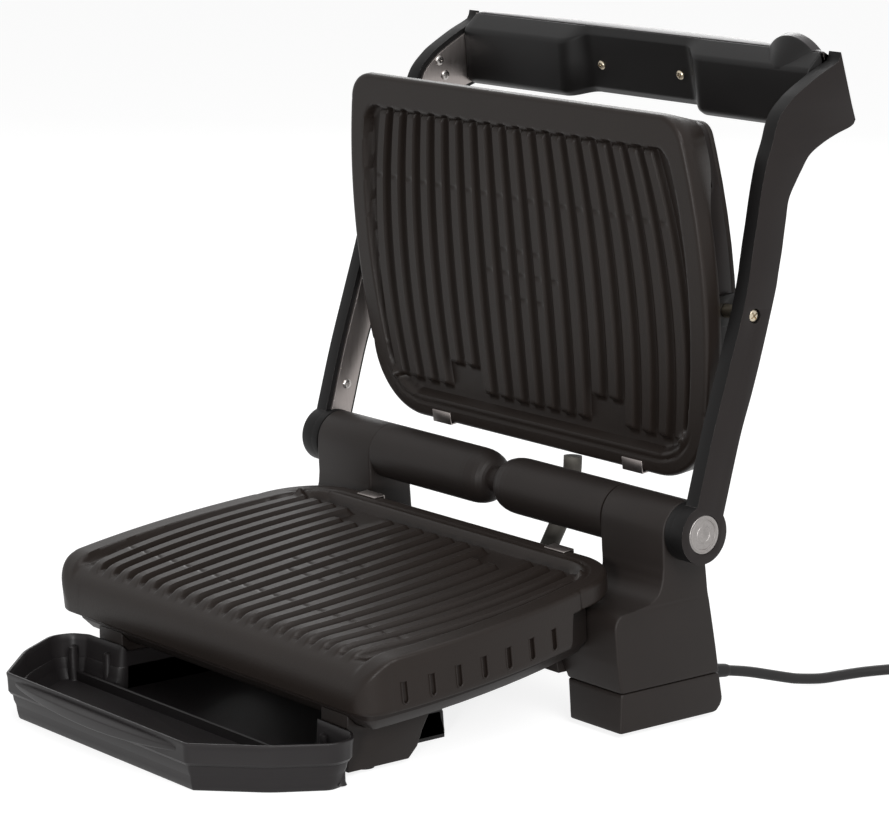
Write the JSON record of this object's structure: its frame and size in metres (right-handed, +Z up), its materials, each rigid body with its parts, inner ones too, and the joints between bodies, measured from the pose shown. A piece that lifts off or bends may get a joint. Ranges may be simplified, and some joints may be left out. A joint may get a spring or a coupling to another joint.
{
  "type": "electric grill with lid",
  "caption": "Contact grill with two ribbed cooking plates, a lid on side arms with a handle bar and control panel, and a drip tray.",
  "frame": {"origin": "on the table, under the middle of the grill's outline without its mains lead, lid open and tray in", "axes": "+Z up, -Y towards the cook (drip tray side), +X to the cook's right, along the hinge"},
  "size_m": [0.3854, 0.6151, 0.3981],
  "materials": {
    "base_plastic": "black satin moulding with a fine grain",
    "bottom_plastic": "black moulding, plain",
    "handle_plastic": "black satin moulding",
    "fascia_plastic": "dark satin panel",
    "tray_plastic": "black satin moulding",
    "button_plastic": "dark grey satin",
    "power_key_plastic": "red satin",
    "nonstick_cast": "cast aluminium under a black non-stick coating, low sheen",
    "sheet_steel": "brushed sheet steel",
    "turned_steel": "turned and plated steel",
    "lid_metal": "brushed stainless sheet",
    "heater_sheath": "dull heater sheath",
    "reflector_sheet": "plain aluminised sheet",
    "bush_metal": "sintered bush",
    "cap_chrome": "satin plated disc",
    "rubber": "black rubber",
    "lead_pvc": "black flexible PVC",
    "plug_brass": "plated brass",
    "hose_grey": "dull grey-brown sleeve",
    "board_laminate": "green board",
    "terminal_plastic": "cream moulding",
    "indicator_clear": "milky translucent ring"
  },
  "bodies": {
    "base": {"base_tub": "base_plastic", "base_bottom_cover": "bottom_plastic", "rear_housing": "base_plastic", "left_pillar": "base_plastic", "right_pillar": "base_plastic", "left_pillar_foot": "base_plastic", "right_pillar_foot": "base_plastic", "left_front_leg": "base_plastic", "right_front_leg": "base_plastic", "rubber_feet": "rubber", "left_barrel": "base_plastic", "right_barrel": "base_plastic", "hinge_bushes": "bush_metal", "lower_plate": "nonstick_cast", "lower_heater": "heater_sheath", "lower_reflector": "reflector_sheet", "lower_plate_tabs": "sheet_steel", "terminal_block": "terminal_plastic", "strain_relief": "rubber", "hose_grommet": "rubber", "power_cord": "lead_pvc", "cord_coil": "lead_pvc", "plug_body": "lead_pvc", "plug_pins": "plug_brass", "lid_hose": "hose_grey"},
    "lid_arms": {"left_arm_cover": "base_plastic", "right_arm_cover": "base_plastic", "left_arm_plate": "sheet_steel", "right_arm_plate": "sheet_steel", "arm_screws": "turned_steel", "hinge_shaft": "turned_steel", "hinge_caps": "cap_chrome", "pivot_bolts": "turned_steel", "handle_shell": "handle_plastic", "handle_screws": "turned_steel", "control_fascia": "fascia_plastic", "control_board": "board_laminate", "indicator_lens": "indicator_clear"},
    "upper_grill": {"upper_housing": "base_plastic", "lid_cover": "lid_metal", "upper_plate": "nonstick_cast", "upper_heater": "heater_sheath", "upper_reflector": "reflector_sheet", "upper_plate_tabs": "sheet_steel", "pivot_brackets": "sheet_steel"},
    "tray": {"drip_tray": "tray_plastic"},
    "lower_button": {"lower_release": "button_plastic"},
    "upper_button": {"upper_release": "button_plastic"},
    "power_key_body": {"power_key": "power_key_plastic"},
    "frozen_key_body": {"frozen_key": "button_plastic"},
    "program_key_1_body": {"program_key_1": "button_plastic"},
    "program_key_2_body": {"program_key_2": "button_plastic"},
    "program_key_3_body": {"program_key_3": "button_plastic"},
    "program_key_4_body": {"program_key_4": "button_plastic"}
  },
  "joints": [
    {"name": "lid_hinge", "type": "hinge", "parent": "base", "child": "lid_arms", "pos_m": [0, 0.0865, 0.118], "axis": [1, 0, 0], "range_deg": [0, 109]},
    {"name": "grill_float", "type": "hinge", "parent": "lid_arms", "child": "upper_grill", "pos_m": [0, 0.1241, 0.2424], "axis": [1, 0, 0], "range_deg": [-20, 0]},
    {"name": "tray_slide", "type": "slide", "parent": "base", "child": "tray", "axis": [0, -1, 0], "range_m": [0, 0.09]},
    {"name": "lower_release_push", "type": "slide", "parent": "base", "child": "lower_button", "axis": [1, 0, 0], "range_m": [0, 0.0025], "stiffness_N_per_m": 400, "springref_m": -0.002},
    {"name": "upper_release_push", "type": "slide", "parent": "upper_grill", "child": "upper_button", "axis": [1, 0, 0], "range_m": [0, 0.0025], "stiffness_N_per_m": 400, "springref_m": -0.002},
    {"name": "power_key_push", "type": "slide", "parent": "lid_arms", "child": "power_key_body", "axis": [0, -0.9512, -0.3087], "range_m": [0, 0.001], "stiffness_N_per_m": 600, "springref_m": -0.001},
    {"name": "frozen_key_push", "type": "slide", "parent": "lid_arms", "child": "frozen_key_body", "axis": [0, -0.9512, -0.3087], "range_m": [0, 0.001], "stiffness_N_per_m": 600, "springref_m": -0.001},
    {"name": "program_key_1_push", "type": "slide", "parent": "lid_arms", "child": "program_key_1_body", "axis": [0, -0.9512, -0.3087], "range_m": [0, 0.001], "stiffness_N_per_m": 600, "springref_m": -0.001},
    {"name": "program_key_2_push", "type": "slide", "parent": "lid_arms", "child": "program_key_2_body", "axis": [0, -0.9512, -0.3087], "range_m": [0, 0.001], "stiffness_N_per_m": 600, "springref_m": -0.001},
    {"name": "program_key_3_push", "type": "slide", "parent": "lid_arms", "child": "program_key_3_body", "axis": [0, -0.9512, -0.3087], "range_m": [0, 0.001], "stiffness_N_per_m": 600, "springref_m": -0.001},
    {"name": "program_key_4_push", "type": "slide", "parent": "lid_arms", "child": "program_key_4_body", "axis": [0, -0.9512, -0.3087], "range_m": [0, 0.001], "stiffness_N_per_m": 600, "springref_m": -0.001}
  ],
  "couplings": [
    {"joint": "grill_float", "follows": "lid_hinge", "ratio": -0.17615}
  ]
}
